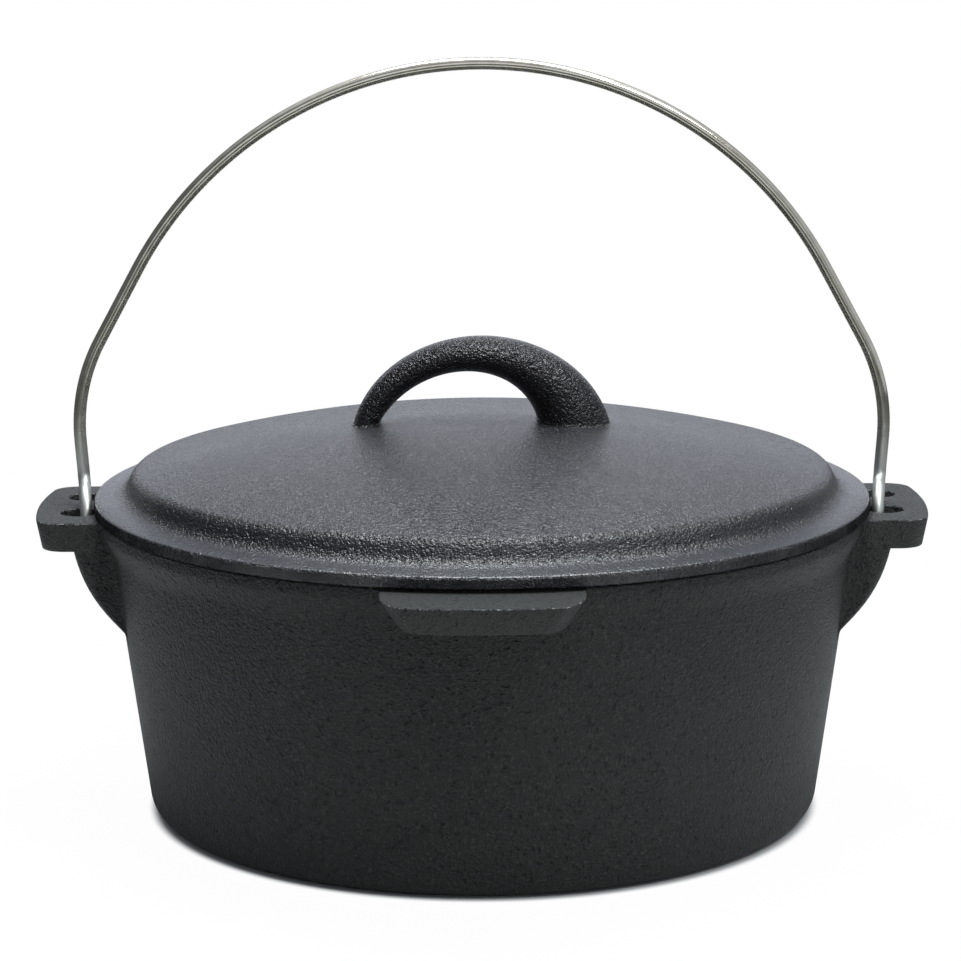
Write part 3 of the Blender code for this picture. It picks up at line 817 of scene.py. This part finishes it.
def zinc_wire(name):
    """Drawn, plated wire: a faint mottle, a few dull specks, and paler and duller by the ears."""
    finish = Finish(bpy.data.materials.new(name))
    _, _, z = finish.split(finish.place())
    near_ear = 1 - z.step(*DULL_WIRE_Z)
    mottle = finish.noise(0.004, detail=1.0)
    specks = finish.noise(0.0016, detail=2.0).step(0.72, 0.80)
    zinc, bright_zinc = (0.80, 0.77, 0.62, 1), (0.92, 0.89, 0.74, 1)
    speck, dull_zinc = (0.22, 0.22, 0.19, 1), (0.74, 0.79, 0.76, 1)
    colour = finish.blend(mottle.step(0.3, 0.7), zinc, bright_zinc)
    colour = finish.blend(specks * 0.6, colour, speck)
    colour = finish.blend(near_ear * 0.7, colour, dull_zinc)
    rough = (mottle - 0.5) * 0.08 + specks * 0.2 + near_ear * 0.26 + 0.16
    return finish.surface(Base_Color=colour, Roughness=rough, Metallic=1.0,
                          Normal=finish.bump(mottle + specks * 0.3, 0.00003))


def make_floor():
    """A pale floor that keeps the contact shadow and runs out to white."""
    bm = bmesh.new()
    bmesh.ops.create_grid(bm, x_segments=1, y_segments=1, size=FLOOR_HALF_SIZE)
    floor = meshed("floor", bm)
    finish = Finish(bpy.data.materials.new("pale_floor"))
    tree = finish.tree
    x, y, _ = finish.split(finish.place())
    away = finish.from_axis(x, y)
    seen = finish.node("ShaderNodeLightPath", output="Is Camera Ray")
    # Painted shade: away from the pot the floor is coloured dark, standing for light that falls off there;
    # the camera still sees it white.
    pale = finish.blend(away.step(*DIM_FLOOR), grey(0.85, (0.98, 1.0, 0.97)), grey(0.12))
    matt = finish.node("ShaderNodeBsdfDiffuse", sockets={"Color": pale})
    white = finish.node("ShaderNodeEmission", sockets={"Color": grey(1.0), "Strength": 1.0})
    share = seen * (away.step(*SHADOW_END) * (1 - SHADOW_RUNOUT_SHARE)
                    + away.step(*SHADOW_RUNOUT) * SHADOW_RUNOUT_SHARE)
    mixed = finish.node("ShaderNodeMixShader", sockets={0: share, 1: matt, 2: white})
    tree.nodes.remove(tree.nodes["Principled BSDF"])
    tree.links.new(mixed.socket, tree.nodes["Material Output"].inputs["Surface"])
    floor.data.materials.append(finish.holder)


def make_surroundings():
    """A studio that is white behind the pot, dimmer above and beside it, and white to the camera."""
    world = bpy.data.worlds.new("studio")
    bpy.context.scene.world = world
    finish = Finish(world)
    tree = finish.tree
    direction = finish.node("ShaderNodeTexCoord", output="Generated")
    x, y, z = finish.split(direction)
    backdrop = y.step(0.0, 0.4) * (1 - abs(x).step(0.25, 0.60)) * (1.0 - z.step(0.20, 0.55) * 0.70)
    ceiling = z.step(0.5, 0.95) * 0.50
    right_wall = x.step(0.3, 1.0) * 0.36
    front_panel = (1 - y.step(-0.98, -0.80)) * 0.60
    level = backdrop + ceiling + right_wall + front_panel + 0.10
    seen = finish.node("ShaderNodeLightPath", output="Is Camera Ray")
    studio = finish.node("ShaderNodeBackground", sockets={
        "Color": grey(1.0, (0.94, 0.97, 1.09)), "Strength": level})
    white = finish.node("ShaderNodeBackground", sockets={"Color": grey(1.0), "Strength": 1.0})
    mixed = finish.node("ShaderNodeMixShader", sockets={0: seen, 1: studio, 2: white})
    tree.links.new(mixed.socket, tree.nodes["World Output"].inputs["Surface"])


def make_softbox(name, spot, width, depth, power, colour):
    """A rectangular soft lamp that points at the pot."""
    lamp = bpy.data.lights.new(name, "AREA")
    lamp.shape = "RECTANGLE"
    lamp.size = width
    lamp.size_y = depth
    lamp.energy = power
    lamp.color = colour
    box = bpy.data.objects.new(name, lamp)
    box.location = spot
    box.rotation_euler = (LAMP_AIM - Vector(spot)).to_track_quat("-Z", "Y").to_euler()
    bpy.context.scene.collection.objects.link(box)


def make_camera():
    """The photograph's viewpoint, with its slight roll."""
    data = bpy.data.cameras.new("camera")
    data.sensor_width = SENSOR_WIDTH
    data.lens = FOCAL_PIXELS * SENSOR_WIDTH / IMAGE_PIXELS
    camera = bpy.data.objects.new("camera", data)
    forward = (CAMERA_AIM - CAMERA_SPOT).normalized()
    level_right = forward.cross(Vector((0, 0, 1))).normalized()
    level_up = level_right.cross(forward)
    right = level_right * math.cos(CAMERA_ROLL) - level_up * math.sin(CAMERA_ROLL)
    up = level_up * math.cos(CAMERA_ROLL) + level_right * math.sin(CAMERA_ROLL)
    turn = Matrix((right, up, -forward)).transposed().to_4x4()
    camera.matrix_world = Matrix.Translation(CAMERA_SPOT) @ turn
    bpy.context.scene.collection.objects.link(camera)
    bpy.context.scene.camera = camera


def main():
    bpy.context.scene.view_settings.view_transform = "Standard"
    make_camera()
    make_surroundings()
    make_softbox("overhead_softbox", spot=(0.05, 0.10, 1.30), width=0.8, depth=0.32,
                 power=15.0, colour=(0.92, 0.96, 1.0))
    make_softbox("front_right_softbox", spot=(0.55, -0.75, 1.05), width=0.35, depth=0.35,
                 power=4.0, colour=(0.96, 0.98, 1.0))
    make_floor()

    # The lugs are coloured paler as painted light, and nicked along their top edges.
    pot_iron = sand_cast("pot_iron", level=0.017, tint=(0.97, 1.03, 0.94), roughness=0.55,
                         grain=0.0010, depth=0.0013, gloss=0.36, lug_light_and_nicks=painted_light_and_nicks)
    # The lid's brim is coloured paler as painted light, and smoother.
    lid_iron = sand_cast("lid_iron", level=0.009, tint=(0.93, 0.98, 1.14), roughness=0.29,
                         grain=0.0009, depth=0.0008, gloss=0.85, brim_smoothing_and_light=on_brim)
    handle_iron = sand_cast("handle_iron", level=0.002, tint=(1.0, 1.0, 1.0), roughness=0.22,
                            grain=0.0010, depth=0.0011, gloss=0.75)
    # The brim's side: black at every angle, painted shade.
    brim_side_painted_shade = black_painted_shade("brim_side_painted_shade", level=0.080, roughness=0.32,
                                     grain=0.0009, depth=0.0006)
    finished(coated(make_pot(), pot_iron), "pot", "pot")
    finished(make_lid(lid_iron, handle_iron, brim_side_painted_shade), "lid", "lid")
    finished(coated(make_bail(), zinc_wire("bail_zinc")), "bail", "bail")


main()
